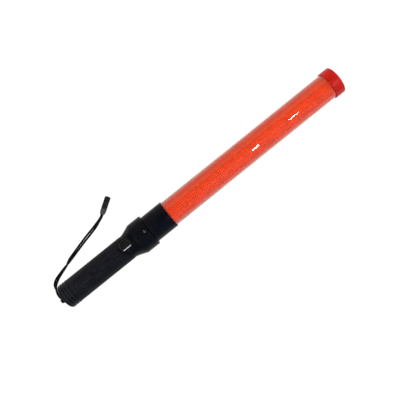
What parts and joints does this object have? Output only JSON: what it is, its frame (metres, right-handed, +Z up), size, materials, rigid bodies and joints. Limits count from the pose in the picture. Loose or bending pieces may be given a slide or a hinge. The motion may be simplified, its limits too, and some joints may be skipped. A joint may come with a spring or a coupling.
{
  "type": "traffic baton light",
  "caption": "Hand-held traffic baton: ribbed black battery handle with push switch, clear tube over an orange prism sleeve, red tip, screwed tail cap and wrist strap.",
  "frame": {"origin": "on the surface that the baton lies on, below the middle of its length from the strap eye to the tip; the free strap isn't counted", "axes": "+X along the baton's axis from butt to tip, +Z up, +Y to the side where the strap lies"},
  "size_m": [0.5335, 0.1092, 0.0523],
  "materials": {
    "black_abs": "satin",
    "black_rubber": "matte",
    "clear_plastic": "gloss",
    "orange_film": "satin",
    "red_plastic": "gloss",
    "white_plastic": "satin",
    "steel": "satin",
    "brass": "satin",
    "cell_wrap": "satin",
    "green_board": "satin",
    "led_red": "gloss",
    "chip_black": "satin",
    "red_insulation": "satin",
    "black_insulation": "satin",
    "strap_cord": "matte"
  },
  "bodies": {
    "handle": {"grip_housing": "black_abs", "battery_rear": "cell_wrap", "battery_front": "cell_wrap", "contact_strip": "brass", "front_contact": "brass", "contact_carrier": "white_plastic", "driver_board": "green_board", "driver_chip": "chip_black", "driver_capacitor": "chip_black", "driver_resistor": "white_plastic", "switch_board": "green_board", "switch_body": "chip_black", "switch_bezel": "black_abs", "switch_wire_red": "red_insulation", "switch_wire_black": "black_insulation", "led_wire_red": "red_insulation", "led_wire_black": "black_insulation", "tube_collar": "black_abs", "collar_screw": "steel", "tube_gasket": "black_rubber", "outer_tube": "clear_plastic", "prism_sleeve": "orange_film", "led_board": "green_board", "board_holder_1": "white_plastic", "board_holder_2": "white_plastic", "board_holder_3": "white_plastic", "tip_reflector": "white_plastic", "tip_cap": "red_plastic", "led_1": "led_red", "led_2": "led_red", "led_3": "led_red", "led_4": "led_red", "led_5": "led_red", "led_6": "led_red", "led_7": "led_red", "led_8": "led_red"},
    "cap_carriage": {"tail_gasket": "black_rubber"},
    "cap": {"tail_cap": "black_abs", "tail_contact": "steel", "tail_spring": "steel", "strap_hitch": "strap_cord", "strap_strand_a": "strap_cord", "strap_strand_b": "strap_cord", "strap_end": "black_abs"},
    "button": {"switch_button": "black_rubber", "switch_stem": "white_plastic"}
  },
  "joints": [
    {"name": "cap_travel", "type": "slide", "parent": "handle", "child": "cap_carriage", "axis": [-1, 0, 0], "range_m": [0, 0.0135]},
    {"name": "cap_turn", "type": "hinge", "parent": "cap_carriage", "child": "cap", "pos_m": [-0.25825, 0, 0.02588], "axis": [-1, 0, 0], "range_deg": [0, 1620]},
    {"name": "button_press", "type": "slide", "parent": "handle", "child": "button", "axis": [0, -0.2079, -0.9781], "range_m": [0, 0.0009], "stiffness_N_per_m": 600, "springref_m": -0.002}
  ],
  "couplings": [
    {"joint": "cap_turn", "follows": "cap_travel", "rad_per_m": 2094.4}
  ]
}
